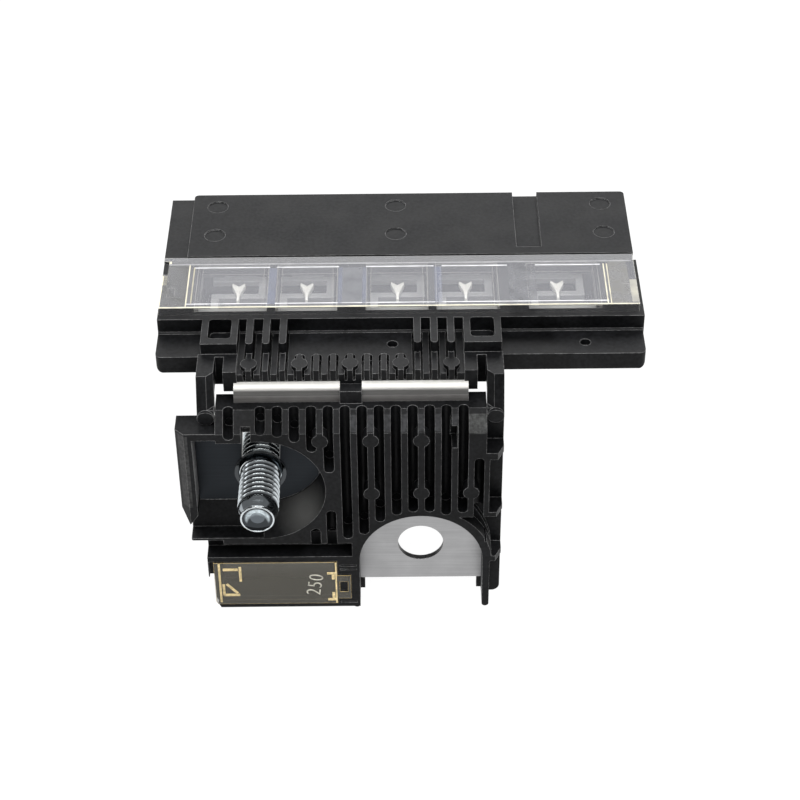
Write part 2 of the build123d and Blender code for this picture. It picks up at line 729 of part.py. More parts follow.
# Moulded fuse block: flange slab, link chambers, deck, sockets, combs and lock arms
with BuildPart() as fuse_block_housing:
    with BuildSketch(Plane.XY.offset(slab_bottom)):
        with Locations((block_left, flange_front)):
            Rectangle(block_right - block_left, deck_front - flange_front, align=(Align.MIN, Align.MIN))
    extrude(amount=slab_top - slab_bottom)
    flange_ends = fuse_block_housing.faces().filter_by(Axis.X)
    fillet(
        flange_ends.edges().filter_by(Axis.Z).group_by(Axis.Y)[0]
        + flange_ends.edges().filter_by(Axis.Y).group_by(Axis.Z)[0],
        radius=flange_corner,
    )
    with BuildSketch(Plane.XY.offset(slab_bottom)):
        with Locations((middle_left, middle_front)):
            Rectangle(middle_right - middle_left, chamber_front - middle_front, align=(Align.MIN, Align.MIN))
    extrude(amount=slab_top - slab_bottom)
    with BuildSketch(Plane.XY.offset(socket_bottom)):
        with Locations((chamber_left, chamber_front)):
            Rectangle(chamber_right - chamber_left, deck_front - chamber_front, align=(Align.MIN, Align.MIN))
    extrude(amount=ledge_top - socket_bottom)
    with BuildSketch(Plane.XY.offset(socket_bottom)) as deck_plan:
        with Locations((deck_left, deck_front)):
            Rectangle(deck_right - deck_left, deck_back - deck_front, align=(Align.MIN, Align.MIN))
        fillet(deck_plan.vertices().group_by(Axis.Y)[-1], radius=deck_corner)
    extrude(amount=deck_top - socket_bottom)
    with BuildSketch(Plane.XY.offset(slab_bottom)):
        with Locations((block_left, deck_front)):
            Rectangle(deck_left - block_left, deck_back - deck_front, align=(Align.MIN, Align.MIN))
    extrude(amount=deck_top - deck_step - slab_bottom)
    # Small slope in the corner between the flange and the chamber wall
    with BuildSketch(Plane.YZ.offset(block_left)):
        with BuildLine():
            Polyline(
                (chamber_front - corner_fillet, slab_top),
                (chamber_front, slab_top + corner_fillet),
                (chamber_front, slab_top),
                close=True,
            )
        make_face()
    extrude(amount=block_right - block_left)
    # Frames beside the combs, with the lock arms that come down onto the terminal body
    frames = (
        (frame_left_outer, frame_left_inner, arm_left_outer, arm_left_inner, 1),
        (frame_right_inner, frame_right_outer, arm_right_inner, arm_right_outer, -1),
    )
    for frame_from, frame_to, arm_from, arm_to, inward in frames:
        with BuildSketch(Plane.XY.offset(frame_low)):
            with Locations((frame_from, slot_back_row)):
                Rectangle(frame_to - frame_from, chamber_front - slot_back_row, align=(Align.MIN, Align.MIN))
        extrude(amount=foot_top - frame_low)
        with BuildSketch(Plane.XY.offset(foot_top)):
            with Locations((frame_from, frame_front)):
                Rectangle(frame_to - frame_from, chamber_front - frame_front, align=(Align.MIN, Align.MIN))
        extrude(amount=ledge_top - foot_top)
        with BuildSketch(Plane.XY.offset(slab_bottom)):
            with Locations((frame_from, foot_front)):
                Rectangle(frame_to - frame_from, slot_back_row - foot_front, align=(Align.MIN, Align.MIN))
        extrude(amount=foot_top - slab_bottom)
        with BuildSketch(Plane.XY.offset(slab_bottom)):
            with Locations((arm_from, arm_front)):
                Rectangle(arm_to - arm_from, frame_front - arm_front, align=(Align.MIN, Align.MIN))
        extrude(amount=foot_top - slab_bottom)
        # The arm leans forward on its way down and ends in a round foot
        with BuildSketch(Plane.YZ.offset(arm_from)):
            with BuildLine():
                Polyline(
                    (arm_front, foot_top),
                    (arm_front - arm_lean, arm_end + arm_round),
                    (arm_front - arm_lean + arm_thick, arm_end + arm_round),
                    (arm_front + arm_thick, foot_top),
                    close=True,
                )
            make_face()
        extrude(amount=arm_to - arm_from)
        with BuildSketch(Plane.XZ.offset(-arm_front + arm_lean)):
            with Locations(((arm_from + arm_to) / 2, arm_end + arm_round)):
                SlotOverall(arm_to - arm_from, 2 * arm_round)
        extrude(amount=-arm_thick)
        # Pocket in the frame, slot beside the arm, and the cut inner corner down the arm
        with BuildSketch(Plane.XY.offset(slab_top)):
            with Locations(((frame_from + frame_to) / 2, (frame_front + frame_bar + chamber_front) / 2)):
                RectangleRounded(
                    frame_to - frame_from - 2 * frame_wall,
                    chamber_front - frame_front - frame_bar,
                    frame_round,
                )
        extrude(amount=ledge_top - slab_top, mode=Mode.SUBTRACT)
        inner_side = arm_to if inward > 0 else arm_from
        with BuildSketch(Plane.XY.offset(frame_low)):
            with Locations((inner_side + inward * arm_slot / 2, slot_back_row)):
                Rectangle(arm_slot, slot_back_row - arm_front + arm_lean, align=(Align.CENTER, Align.MAX))
        extrude(amount=foot_top - frame_low, mode=Mode.SUBTRACT)
        with BuildSketch(Plane.XY.offset(foot_top)):
            with BuildLine():
                Polyline(
                    (inner_side + inward * arm_cut, arm_front),
                    (inner_side - inward * arm_cut, arm_front),
                    (inner_side + inward * arm_cut, arm_front + 2 * arm_cut),
                    close=True,
                )
            make_face()
        arm_fall = foot_top - arm_end - 2 * arm_round
        extrude(
            amount=sqrt(arm_fall ** 2 + (arm_lean * arm_fall / (foot_top - arm_end - arm_round)) ** 2),
            dir=(0, -arm_lean, arm_end + arm_round - foot_top),
            mode=Mode.SUBTRACT,
        )
    # Deep grooves, each with a thinner rib in it; comb fingers stand over the outer ones
    for k in range(groove_count):
        x = first_groove + groove_pitch * k
        under_finger = x in finger_columns
        groove_end = chamber_front if under_finger else groove_back
        with BuildSketch(Plane.XY.offset(slab_top)):
            with Locations((x, middle_front)):
                Rectangle(
                    groove_width,
                    groove_end - middle_front - groove_width / 2,
                    align=(Align.CENTER, Align.MIN),
                )
            with Locations((x, groove_end - groove_width / 2)):
                Circle(groove_width / 2)
        extrude(amount=-groove_floor, mode=Mode.SUBTRACT)
        rib_end = chamber_front if under_finger else rib_back
        with BuildSketch(Plane.XY.offset(slab_top - groove_floor)):
            with Locations((x, middle_front)):
                Rectangle(groove_rib, rib_end - middle_front - groove_rib / 2, align=(Align.CENTER, Align.MIN))
            with Locations((x, rib_end - groove_rib / 2)):
                Circle(groove_rib / 2)
        extrude(amount=foot_top - slab_top + groove_floor)
        if under_finger:
            with BuildSketch(Plane.XY.offset(slab_top - groove_floor)):
                with Locations((x, finger_front + finger_width / 2)):
                    Rectangle(
                        finger_width,
                        chamber_front - finger_front - finger_width / 2,
                        align=(Align.CENTER, Align.MIN),
                    )
                    Circle(finger_width / 2)
            extrude(amount=ledge_top - slab_top + groove_floor)
    with BuildSketch(Plane.XY.offset(slab_top - groove_floor)):
        for x in boss_columns:
            with Locations((x, boss_row)):
                Circle(boss_diameter / 2)
    extrude(amount=foot_top - slab_top + groove_floor)
    with BuildSketch(Plane.XY.offset(slab_top)):
        with Locations((pin_hole_left, pin_hole_row), (pin_hole_right, pin_hole_row)):
            Circle(pin_hole / 2)
    extrude(amount=-groove_floor, mode=Mode.SUBTRACT)
    # Link chambers: open above under the clear cover, open below to the base plate
    for span_from, span_to in chamber_spans:
        with BuildSketch(Plane.XY.offset(socket_bottom)):
            with Locations((span_from, chamber_open)):
                Rectangle(span_to - span_from, deck_front - chamber_open, align=(Align.MIN, Align.MIN))
        extrude(amount=ledge_top - socket_bottom, mode=Mode.SUBTRACT)
        with BuildSketch(Plane.XY.offset(socket_bottom)):
            with Locations((span_from, chamber_open)):
                Rectangle(span_to - span_from, chamber_rear - chamber_open, align=(Align.MIN, Align.MIN))
        extrude(amount=chamber_ceiling - socket_bottom, mode=Mode.SUBTRACT)
    with BuildSketch(Plane.XY.offset(socket_bottom)):
        with Locations((base_left - cover_clearance, base_front - cover_clearance)):
            Rectangle(
                base_right - base_left + 2 * cover_clearance,
                base_back - base_front + 2 * cover_clearance,
                align=(Align.MIN, Align.MIN),
            )
    extrude(amount=base_thickness, mode=Mode.SUBTRACT)
    # Sockets open to the rear, each round its own blades
    with BuildSketch(Plane.XZ.offset(-deck_back)):
        for span_from, span_to in socket_spans:
            with Locations((span_from, socket_bottom + socket_wall)):
                Rectangle(
                    span_to - span_from,
                    deck_top - socket_bottom - 2 * socket_wall,
                    align=(Align.MIN, Align.MIN),
                )
    extrude(amount=deck_back - socket_floor, mode=Mode.SUBTRACT)
    # Deck surface: recessed strip and round ejector marks
    with BuildSketch(Plane.XY.offset(deck_top)):
        with Locations((recess_from, recess_front)):
            Rectangle(recess_to - recess_from, deck_back - recess_front, align=(Align.MIN, Align.MIN))
    extrude(amount=-recess_depth, mode=Mode.SUBTRACT)
    with BuildSketch(Plane.XY.offset(deck_top)):
        for x in mark_columns:
            for y in mark_rows:
                with Locations((x, y)):
                    Circle(mark_diameter / 2)
    extrude(amount=-mark_depth, mode=Mode.SUBTRACT)
    # Slots for the cover's end locks
    with BuildSketch(Plane.XY.offset(ledge_top)):
        for x in (lock_left, lock_right):
            with Locations((x, lock_row)):
                Rectangle(lock_thick + 2 * cover_clearance, lock_width + 2 * cover_clearance)
    extrude(amount=-lock_reach - cover_clearance, mode=Mode.SUBTRACT)
    # Hook that stands in the notch at the left end of the cover
    with BuildSketch(Plane.XY.offset(ledge_top)):
        with Locations((cover_left, hook_front + cover_clearance)):
            Rectangle(
                hook_notch - cover_clearance,
                hook_back - hook_front - 2 * cover_clearance,
                align=(Align.MIN, Align.MIN),
            )
    extrude(amount=hook_top - ledge_top)
    add(bus_bar.part, mode=Mode.SUBTRACT)
fuse_block_housing.part.label = "fuse_block_housing"


# Clear cover: a shallow lid with a lip in each chamber and a lock at each end
with BuildPart() as fuse_bank_cover:
    with BuildSketch(Plane.XY.offset(ledge_top)):
        with Locations((cover_left, cover_front)):
            Rectangle(cover_right - cover_left, cover_back - cover_front, align=(Align.MIN, Align.MIN))
    extrude(amount=deck_top - ledge_top)
    with BuildSketch(Plane.XY.offset(ledge_top)):
        for span_from, span_to in chamber_spans:
            with Locations((span_from, chamber_open)):
                Rectangle(span_to - span_from, cover_back - cover_wall - chamber_open, align=(Align.MIN, Align.MIN))
    extrude(amount=deck_top - ledge_top - cover_wall, mode=Mode.SUBTRACT)
    with BuildSketch(Plane.XY.offset(deck_top - cover_wall)):
        for span_from, span_to in chamber_spans:
            with Locations((span_from + cover_clearance, chamber_open + cover_clearance)):
                Rectangle(
                    span_to - span_from - 2 * cover_clearance,
                    cover_back - cover_wall - chamber_open - 2 * cover_clearance,
                    align=(Align.MIN, Align.MIN),
                )
            with Locations((span_from + cover_clearance + cover_lip_wall, chamber_open + cover_clearance + cover_lip_wall)):
                Rectangle(
                    span_to - span_from - 2 * (cover_clearance + cover_lip_wall),
                    cover_back - cover_wall - chamber_open - 2 * (cover_clearance + cover_lip_wall),
                    align=(Align.MIN, Align.MIN),
                    mode=Mode.SUBTRACT,
                )
    extrude(amount=-(deck_top - cover_wall - ledge_top + cover_lip))
    with BuildSketch(Plane.XY.offset(ledge_top)):
        for x in (lock_left, lock_right):
            with Locations((x, lock_row)):
                Rectangle(lock_thick, lock_width)
    extrude(amount=-lock_reach)
    with BuildSketch(Plane.XY.offset(ledge_top)):
        with Locations((cover_left, hook_front)):
            Rectangle(hook_notch, hook_back - hook_front, align=(Align.MIN, Align.MIN))
    extrude(amount=deck_top - ledge_top, mode=Mode.SUBTRACT)
fuse_bank_cover.part.label = "fuse_bank_cover"


# Plate that closes the chambers from below
with BuildPart() as fuse_bank_base:
    with BuildSketch(Plane.XY.offset(socket_bottom)):
        with Locations((base_left, base_front)):
            Rectangle(base_right - base_left, base_back - base_front, align=(Align.MIN, Align.MIN))
    extrude(amount=base_thickness)
    with BuildSketch(Plane.XY.offset(socket_bottom + base_thickness)):
        for span_from, span_to in chamber_spans:
            with Locations((span_from + cover_clearance, chamber_open + cover_clearance)):
                Rectangle(
                    span_to - span_from - 2 * cover_clearance,
                    chamber_rear - chamber_open - 2 * cover_clearance,
                    align=(Align.MIN, Align.MIN),
                )
            with Locations((span_from + cover_clearance + cover_lip_wall, chamber_open + cover_clearance + cover_lip_wall)):
                Rectangle(
                    span_to - span_from - 2 * (cover_clearance + cover_lip_wall),
                    chamber_rear - chamber_open - 2 * (cover_clearance + cover_lip_wall),
                    align=(Align.MIN, Align.MIN),
                    mode=Mode.SUBTRACT,
                )
    extrude(amount=cover_lip)
fuse_bank_base.part.label = "fuse_bank_base"


# Amber cover of the main link, with the tongue that clips over the catch
with BuildPart() as main_link_cover:
    with BuildSketch(Plane.XZ.offset(body_front - main_cover_rebate)):
        with BuildLine():
            Polyline(
                (-main_cover_right, main_cover_low),
                (-main_cover_corner, main_cover_low),
                (-link_block_side, link_block_corner),
                (-link_block_side, main_cover_high),
                (-main_cover_right, main_cover_high),
                close=True,
            )
        make_face()
        with Locations((-main_cover_right, tongue_low)):
            Rectangle(tongue_reach, tongue_high - tongue_low, align=(Align.MIN, Align.MIN))
        with Locations((-main_cover_right + cover_wall / 2 - cover_clearance, catch_low - cover_clearance)):
            Rectangle(
                tongue_reach - cover_wall + cover_clearance,
                catch_high - catch_low + 2 * cover_clearance,
                align=(Align.MIN, Align.MIN),
                mode=Mode.SUBTRACT,
            )
    extrude(amount=main_cover_thickness)
main_link_cover.part.label = "main_link_cover"


# Plain cover behind the main link
with BuildPart() as main_link_back_cover:
    with BuildSketch(Plane.XZ.offset(-link_block_back + main_cover_rebate)):
        with BuildLine():
            Polyline(
                (-main_cover_right, main_cover_low),
                (-main_cover_corner, main_cover_low),
                (-link_block_side, link_block_corner),
                (-link_block_side, main_cover_high),
                (-main_cover_right, main_cover_high),
                close=True,
            )
        make_face()
    extrude(amount=-main_cover_rebate)
main_link_back_cover.part.label = "main_link_back_cover"


# A tin pellet sits across the low bar of each fuse link
for number, x in enumerate(link_x, start=1):
    with BuildPart() as link_tin:
        with BuildSketch(Plane.XZ.offset(-(link_low_bar - tin_length / 2))):
            with Locations((x, hinge_top)):
                Rectangle(tin_width, tin_height - tin_width / 4, align=(Align.CENTER, Align.MIN))
                Ellipse(tin_width / 2, tin_height)
                Rectangle(tin_width, tin_height, align=(Align.CENTER, Align.MAX), mode=Mode.SUBTRACT)
        extrude(amount=-tin_length)
    link_tin.part.label = f"link_tin_{number}"
    export_step(link_tin.part, f"parts/link_tin_{number}.step")


export_step(bus_bar.part, "parts/bus_bar.step")
export_step(terminal_stud.part, "parts/terminal_stud.step")
export_step(terminal_housing.part, "parts/terminal_housing.step")
export_step(fuse_block_housing.part, "parts/fuse_block_housing.step")
export_step(fuse_bank_cover.part, "parts/fuse_bank_cover.step")
export_step(fuse_bank_base.part, "parts/fuse_bank_base.step")
export_step(main_link_cover.part, "parts/main_link_cover.step")
export_step(main_link_back_cover.part, "parts/main_link_back_cover.step")
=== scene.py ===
import bpy
import math
from mathutils import Matrix, Vector


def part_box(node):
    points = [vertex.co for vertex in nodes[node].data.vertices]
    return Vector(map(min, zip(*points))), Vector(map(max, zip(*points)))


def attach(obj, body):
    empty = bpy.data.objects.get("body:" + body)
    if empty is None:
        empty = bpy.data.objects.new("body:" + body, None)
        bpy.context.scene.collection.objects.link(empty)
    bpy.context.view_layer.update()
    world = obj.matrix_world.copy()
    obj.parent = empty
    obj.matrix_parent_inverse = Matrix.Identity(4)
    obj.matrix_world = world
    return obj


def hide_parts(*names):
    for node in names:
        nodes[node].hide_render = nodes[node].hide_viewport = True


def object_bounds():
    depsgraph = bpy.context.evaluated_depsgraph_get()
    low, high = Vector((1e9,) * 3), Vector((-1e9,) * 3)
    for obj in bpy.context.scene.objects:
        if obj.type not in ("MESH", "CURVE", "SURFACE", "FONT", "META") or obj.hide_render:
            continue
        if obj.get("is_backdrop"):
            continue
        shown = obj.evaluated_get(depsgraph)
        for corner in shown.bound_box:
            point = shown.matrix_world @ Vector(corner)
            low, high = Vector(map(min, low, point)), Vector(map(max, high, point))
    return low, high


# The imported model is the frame: metres, +Z up, the origin at the battery terminal hole
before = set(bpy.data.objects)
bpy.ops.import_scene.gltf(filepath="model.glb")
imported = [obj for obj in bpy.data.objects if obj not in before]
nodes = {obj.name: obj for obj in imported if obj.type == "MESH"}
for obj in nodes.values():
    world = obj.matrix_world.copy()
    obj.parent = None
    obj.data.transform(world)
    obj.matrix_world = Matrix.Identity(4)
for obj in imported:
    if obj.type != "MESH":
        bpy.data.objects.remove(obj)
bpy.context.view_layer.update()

MM = 0.001

# The stud's axis and the back of its head, as in the part's source
STUD_X = -31.1 * MM
STUD_Z = 19.25 * MM
STUD_BACK = 2.6 * MM

# Its rolled thread, and the neck where the thread ends
PITCH = 1.25 * MM
THREAD_TURNS = 9
THREAD_FRONT = -11.35 * MM
ROOT_RADIUS = 3.3 * MM
FLANK_RADIUS = 3.86 * MM
CREST_RADIUS = 3.97 * MM
RIDGE_WIDTH = 1.13 * MM
NECK = -11.0 * MM
WELD = 0.01 * MM

# Width and height of the bar that each link clip starts as
CLIP_BAR = 0.9 * MM

# The amber cover's front face, and the long clear cover's top face
AMBER_FRONT = -5.8 * MM
BANK_TOP = 46.8 * MM


def deselect():
    bpy.ops.object.select_all(action="DESELECT")


def pick(piece):
    """Makes a piece the active one, and the only one selected."""
    deselect()
    piece.select_set(True)
    bpy.context.view_layer.objects.active = piece


def select_parts(piece, kind, wanted):
    """Selects the vertices, edges or faces that wanted(part) names, and opens edit mode on them."""
    bpy.ops.object.mode_set(mode="OBJECT")
    mesh = piece.data
    parts = {"VERT": mesh.vertices, "EDGE": mesh.edges, "FACE": mesh.polygons}
    for same_kind in parts.values():
        for part in same_kind:
            part.select = False
    for part in parts[kind]:
        part.select = bool(wanted(part))
    bpy.ops.object.mode_set(mode="EDIT")
    bpy.ops.mesh.select_mode(type=kind)


def select_points(piece, wanted):
    """Selects the vertices that wanted(place) names."""
    select_parts(piece, "VERT", lambda vertex: wanted(vertex.co))


def select_edges(piece, wanted):
    """Selects the edges that wanted(first end, second end) names."""
    points = piece.data.vertices
    select_parts(piece, "EDGE", lambda edge: wanted(*[points[k].co for k in edge.vertices]))


def select_faces(piece, wanted):
    """Selects the faces that wanted(normal) names."""
    select_parts(piece, "FACE", lambda face: wanted(face.normal))


def any_way(normal):
    return True


def to_the_front(normal):
    return normal.y < -0.9


def at_origin(piece):
    """Puts the place, turn and scale of a finished piece into its mesh."""
    bpy.ops.object.mode_set(mode="OBJECT")
    pick(piece)
    bpy.ops.object.transform_apply(location=True, rotation=True, scale=True)


def use_modifier(piece, kind, **settings):
    """Adds a modifier and applies it."""
    bpy.context.view_layer.objects.active = piece
    modifier = piece.modifiers.new(kind.lower(), kind)
    for key, value in settings.items():
        setattr(modifier, key, value)
    bpy.ops.object.modifier_apply(modifier=modifier.name)


def join(name, pieces):
    """Joins finished pieces into one object."""
    deselect()
    for piece in pieces:
        piece.select_set(True)
    bpy.context.view_layer.objects.active = pieces[0]
    bpy.ops.object.join()
    pieces[0].name = name
    pieces[0].data.name = name
    return pieces[0]


def smooth_outside(piece, sharp_from):
    """Points every face outwards and smooths the edges below an angle in degrees."""
    select_faces(piece, any_way)
    bpy.ops.mesh.normals_make_consistent(inside=False)
    bpy.ops.object.mode_set(mode="OBJECT")
    pick(piece)
    bpy.ops.object.shade_smooth_by_angle(angle=math.radians(sharp_from))


def block(name, low, high, round_edge):
    """A block with rounded edges, between two corners in metres."""
    low = Vector(low)
    high = Vector(high)
    deselect()
    bpy.ops.mesh.primitive_cube_add(size=1.0, location=(low + high) / 2)
    piece = bpy.context.object
    piece.name = name
    piece.scale = high - low
    at_origin(piece)
    use_modifier(piece, "BEVEL", width=round_edge, segments=2, limit_method="NONE")
    return piece


# Threaded stud

def round_bar(radius, front, back):
    """A plain round bar on the stud's axis."""
    deselect()
    bpy.ops.mesh.primitive_cylinder_add(
        vertices=64, radius=radius, depth=back - front,
        location=(STUD_X, (front + back) / 2, STUD_Z), rotation=(math.pi / 2, 0, 0),
    )
    bar = bpy.context.object
    at_origin(bar)
    return bar


def turned_core():
    """The stud's core, with a neck and a dished dog point at its front end."""
    core = round_bar(ROOT_RADIUS, NECK, STUD_BACK)
    # Each station, in millimetres: how far the end face moves forward, and the radius it takes there
    stations = (
        (0.0, 3.93), (0.35, 3.93), (0.9, 3.62), (1.0, 3.3), (0.3, 3.25), (0.15, 3.25), (0.1, 3.13),
        (0.0, 2.98), (-0.22, 2.8), (-0.22, 2.2), (-0.12, 1.3), (-0.04, 0.5),
    )
    end = NECK
    radius = ROOT_RADIUS
    select_faces(core, to_the_front)
    for step, new_radius in stations:
        bpy.ops.mesh.extrude_region_move(TRANSFORM_OT_translate={"value": (0, -step * MM, 0)})
        end -= step * MM
        growth = new_radius * MM / radius
        bpy.ops.transform.resize(value=(growth, 1, growth), center_override=(STUD_X, end, STUD_Z))
        radius = new_radius * MM
    bpy.ops.object.mode_set(mode="OBJECT")
    return core


def rolled_thread():
    """One pitch of the thread's profile, wound round the stud."""
    deselect()
    bpy.ops.mesh.primitive_circle_add(vertices=6, radius=MM, fill_type="NOTHING", location=(0, 0, 0))
    ridge = bpy.context.object
    starts = [point.co.copy() for point in ridge.data.vertices]
    # Radius, and distance back from the front of one pitch: root, flank, crest, flank, root
    profile = (
        (ROOT_RADIUS, 0.0), (FLANK_RADIUS, 0.42 * MM), (CREST_RADIUS, 0.53 * MM),
        (CREST_RADIUS, 0.6 * MM), (FLANK_RADIUS, 0.71 * MM), (ROOT_RADIUS, RIDGE_WIDTH),
    )
    for start, (reach, back) in zip(starts, profile):
        select_points(ridge, lambda place, start=start: (place - start).length < 0.0001 * MM)
        bpy.ops.transform.translate(value=Vector((reach, back, 0)) - start)
    # The circle's last edge, from root to root, goes
    select_edges(ridge, lambda first, second: max(first.x, second.x) < ROOT_RADIUS + 0.1 * MM)
    bpy.ops.mesh.delete(type="EDGE")
    # The flat root up to the next turn
    select_points(ridge, lambda place: place.y > RIDGE_WIDTH - 0.03 * MM)
    bpy.ops.mesh.extrude_region_move(TRANSFORM_OT_translate={"value": (0, PITCH - RIDGE_WIDTH, 0)})
    bpy.ops.object.mode_set(mode="OBJECT")
    use_modifier(
        ridge, "SCREW", axis="Y", angle=2 * math.pi, screw_offset=PITCH, iterations=THREAD_TURNS,
        steps=48, render_steps=48, use_merge_vertices=True, merge_threshold=WELD,
    )
    select_faces(ridge, any_way)
    bpy.ops.mesh.remove_doubles(threshold=WELD)
    bpy.ops.transform.translate(value=(STUD_X, THREAD_FRONT, STUD_Z))
    at_origin(ridge)
    return ridge


def pressed_collar():
    """The thin ring that the stud's shoulder leaves on the plate, sunk in its middle."""
    collar = round_bar(5.05 * MM, -0.3 * MM, 0.0)
    select_faces(collar, to_the_front)
    bpy.ops.mesh.inset(thickness=0.45 * MM)
    bpy.ops.transform.translate(value=(0, 0.12 * MM, 0))
    bpy.ops.object.mode_set(mode="OBJECT")
    return collar


def square_head():
    """The stud's square head, behind its plate."""
    half = 5.5 * MM
    return block(
        "stud_head", (STUD_X - half, 1.2 * MM, STUD_Z - half), (STUD_X + half, STUD_BACK, STUD_Z + half),
        0.3 * MM,
    )


head = square_head()
stud = join("threaded_stud", [turned_core(), rolled_thread(), pressed_collar(), head])
smooth_outside(stud, 38)
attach(stud, "root")
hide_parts("terminal_stud")


# Bright clips on the fuse links

def link_clip(name, node_name):
    """A pinched tin clip: a narrow stem in front, two spread wings behind, a pleat between them."""
    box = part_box(node_name)
    low, high = Vector(box[0]), Vector(box[1])
    middle = (low + high) / 2
    length = high.y - low.y
    deselect()
    bpy.ops.mesh.primitive_cube_add(size=1.0, location=(middle.x, middle.y, low.z + CLIP_BAR / 2))
    clip = bpy.context.object
    clip.name = name
    clip.scale = (CLIP_BAR, length, CLIP_BAR)
    at_origin(clip)
    # Each row across the clip: its share of the length, and its width in millimetres
    rows = ((0.0, 0.62), (0.18, 0.55), (0.42, 0.8), (0.66, 1.9), (0.86, 2.75), (1.0, 2.5))
    for share, _ in rows[1:-1]:
        cut = (middle.x, low.y + share * length, middle.z)
        select_faces(clip, any_way)
        bpy.ops.mesh.bisect(plane_co=cut, plane_no=(0, 1, 0))
    select_faces(clip, any_way)
    bpy.ops.mesh.bisect(plane_co=middle, plane_no=(1, 0, 0))
    for share, width in rows:
        here = low.y + share * length
        select_points(clip, lambda place, here=here: abs(place.y - here) < 0.02 * MM)
        spread_out = (width * MM / CLIP_BAR, 1, 1)
        bpy.ops.transform.resize(value=spread_out, center_override=(middle.x, here, middle.z))
    # The pleat: the middle of the wings sinks, and their outer edges stand up
    wings = low.y + 0.6 * length
    select_points(clip, lambda place: place.y > wings and abs(place.x - middle.x) < 0.05 * MM
                  and place.z > middle.z - 0.1 * MM)
    bpy.ops.transform.translate(value=(0, 0, -0.45 * MM))
    select_points(clip, lambda place: place.y > wings and abs(place.x - middle.x) > 0.4 * MM
                  and place.z > low.z + 0.5 * MM)
    bpy.ops.transform.translate(value=(0, 0, 0.35 * MM))
    bpy.ops.object.mode_set(mode="OBJECT")
    use_modifier(clip, "BEVEL", width=0.12 * MM, segments=2, limit_method="ANGLE")
    smooth_outside(clip, 40)
    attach(clip, "root")
    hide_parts(node_name)
    return clip


clips = [link_clip(f"link_clip_{number}", f"link_tin_{number}") for number in range(1, 6)]


# Raised marks on the amber cover, left and right of the smoky window

def amber_bar(name, left, right, low, high, rise=0.14):
    """A flat bar that stands out of the amber cover's front, in millimetres."""
    return block(
        name,
        (left * MM, AMBER_FRONT - rise * MM, low * MM),
        (right * MM, AMBER_FRONT + 0.05 * MM, high * MM),
        0.06 * MM,
    )


def slanted_bar():
    """The third side of the small triangle."""
    slant = amber_bar("slant", -38.05, -37.5, -8.3, -5.0)
    pick(slant)
    middle = (-37.8 * MM, AMBER_FRONT, -6.67 * MM)
    bpy.ops.transform.rotate(value=math.radians(39), orient_axis="Y", center_override=middle)
    at_origin(slant)
    return slant


def rating_number():
    """The rating on the amber cover, a plain number that reads upwards and leans a little."""
    deselect()
    bpy.ops.object.text_add(location=(0, 0, 0))
    digits = bpy.context.object
    digits.data.body = "250"
    digits.data.size = 4.2 * MM
    digits.data.space_character = 1.1
    digits.data.extrude = 0.06 * MM
    digits.data.offset = -0.06 * MM
    digits.data.align_x = "CENTER"
    digits.data.align_y = "CENTER"
    digits.rotation_euler = (math.pi / 2, math.radians(-81), 0)
    digits.location = (-21.05 * MM, AMBER_FRONT - 0.04 * MM, -5.75 * MM)
    digits.scale = (0.86, 1.0, 1.0)
    bpy.ops.object.convert(target="MESH")
    number = bpy.context.object
    number.name = "rating_number"
    at_origin(number)
    return number


slant = slanted_bar()
amber_marks = join("amber_marks", [
    amber_bar("edge_line", -40.35, -39.9, -10.4, 0.1),
    amber_bar("upper_bar", -39.4, -36.4, -1.75, -1.1),
    amber_bar("upright", -36.25, -35.7, -4.7, -0.7),
    amber_bar("lower_bar", -39.5, -36.3, -8.7, -8.1),
    slant,
    amber_bar("short_upright", -39.7, -39.2, -8.5, -5.4),
    amber_bar("right_line", -17.1, -16.78, -10.9, 0.1),
    amber_bar("upper_loop", -18.7, -16.9, -2.9, -2.4, 0.2),
    amber_bar("upper_loop_side", -17.8, -17.2, -4.3, -2.6, 0.2),
    amber_bar("lower_loop", -18.7, -16.9, -10.1, -9.6, 0.2),
    amber_bar("lower_loop_side", -17.8, -17.2, -9.8, -7.9, 0.2),
])
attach(amber_marks, "root")
rating = rating_number()
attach(rating, "root")


# Nodes that the finishes share

def add_node(tree, kind, **settings):
    node = tree.nodes.new(kind)
    for key, value in settings.items():
        setattr(node, key, value)
    return node


def feed(tree, socket, value):
    """Gives a socket a number, a tuple, or what another socket puts out."""
    if isinstance(value, (int, float, tuple)):
        socket.default_value = value
    else:
        tree.links.new(value, socket)


def noise(tree, vector, scale, detail=2.0, rough=0.5):
    node = add_node(tree, "ShaderNodeTexNoise")
    for label, value in (("Vector", vector), ("Scale", scale), ("Detail", detail), ("Roughness", rough)):
        feed(tree, node.inputs[label], value)
    return node.outputs["Fac"]


def spread(tree, value, low, high, start=0.3, end=0.7):
    """Maps start to end of a value onto low to high."""
    node = add_node(tree, "ShaderNodeMapRange")
    feed(tree, node.inputs["Value"], value)
    feed(tree, node.inputs["From Min"], start)
    feed(tree, node.inputs["From Max"], end)
    feed(tree, node.inputs["To Min"], low)
    feed(tree, node.inputs["To Max"], high)
    return node.outputs["Result"]


def calculate(tree, operation, first, second=0.0):
    node = add_node(tree, "ShaderNodeMath", operation=operation)
    feed(tree, node.inputs[0], first)
    feed(tree, node.inputs[1], second)
    return node.outputs["Value"]


def product(tree, first, *others):
    """Two or more values multiplied."""
    for other in others:
        first = calculate(tree, "MULTIPLY", first, other)
    return first


def over(tree, value, limit):
    return calculate(tree, "GREATER_THAN", value, limit)


def under(tree, value, limit):
    return calculate(tree, "LESS_THAN", value, limit)


